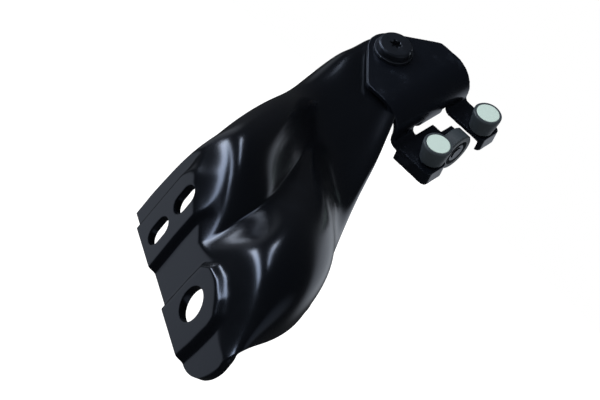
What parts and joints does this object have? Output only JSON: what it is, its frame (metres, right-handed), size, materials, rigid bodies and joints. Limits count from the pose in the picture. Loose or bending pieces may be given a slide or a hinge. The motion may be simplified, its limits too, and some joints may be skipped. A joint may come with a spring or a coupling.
{
  "type": "sliding door roller guide",
  "caption": "Deep-drawn black steel door arm with a bracket swivelling on a pin, carrying upright guide rollers and a load roller for a sliding door's rail.",
  "frame": {"origin": "midway between the two fixing slots, on the faces that meet the door", "axes": "+X along the row of fixings from the slots to the large hole, +Y from the door into the vehicle, +Z along the slots towards the arm's bulges"},
  "size_m": [0.2696, 0.2225, 0.1299],
  "materials": {
    "e_coated_steel": "semi-gloss black electro-coat on deep-drawn steel",
    "blacked_steel": "satin black on turned steel",
    "turned_steel": "bright turned steel",
    "sintered_bronze": "oiled sintered bearing metal",
    "black_polyamide": "moulded tyre, dark grey",
    "grey_polyamide": "moulded hub, mid grey",
    "natural_polyamide": "moulded, pale green-white"
  },
  "bodies": {
    "arm": {"arm_pressing": "e_coated_steel", "pivot_sleeve": "e_coated_steel", "pivot_bush_upper": "sintered_bronze", "pivot_bush_lower": "sintered_bronze"},
    "carriage": {"carriage_bracket": "e_coated_steel", "pivot_pin": "blacked_steel", "pin_washer": "blacked_steel", "pin_collar": "turned_steel", "guide_stud_near": "turned_steel", "guide_stud_far": "turned_steel", "guide_clip_near": "turned_steel", "guide_clip_far": "turned_steel", "load_axle": "turned_steel", "load_clip": "turned_steel"},
    "guide_roller_near": {"guide_tyre_near": "black_polyamide", "guide_face_near": "natural_polyamide", "guide_bush_near": "sintered_bronze"},
    "guide_roller_far": {"guide_tyre_far": "black_polyamide", "guide_face_far": "natural_polyamide", "guide_bush_far": "sintered_bronze"},
    "load_roller": {"load_tyre": "black_polyamide", "load_hub": "grey_polyamide", "load_bush": "sintered_bronze"}
  },
  "joints": [
    {"name": "bracket_swivel", "type": "hinge", "parent": "arm", "child": "carriage", "pos_m": [-0.152, 0.149, 0.08], "axis": [0.2588, -0.483, 0.8365], "range_deg": [0, 95]},
    {"name": "guide_spin_near", "type": "hinge", "parent": "carriage", "child": "guide_roller_near", "pos_m": [-0.08711, 0.16778, 0.07077], "axis": [0.2588, -0.483, 0.8365], "continuous": true},
    {"name": "guide_spin_far", "type": "hinge", "parent": "carriage", "child": "guide_roller_far", "pos_m": [-0.10981, 0.19999, 0.09639], "axis": [0.2588, -0.483, 0.8365], "continuous": true},
    {"name": "load_spin", "type": "hinge", "parent": "carriage", "child": "load_roller", "pos_m": [-0.1051, 0.19259, 0.06675], "axis": [-0.8365, -0.5451, -0.0559], "continuous": true}
  ]
}
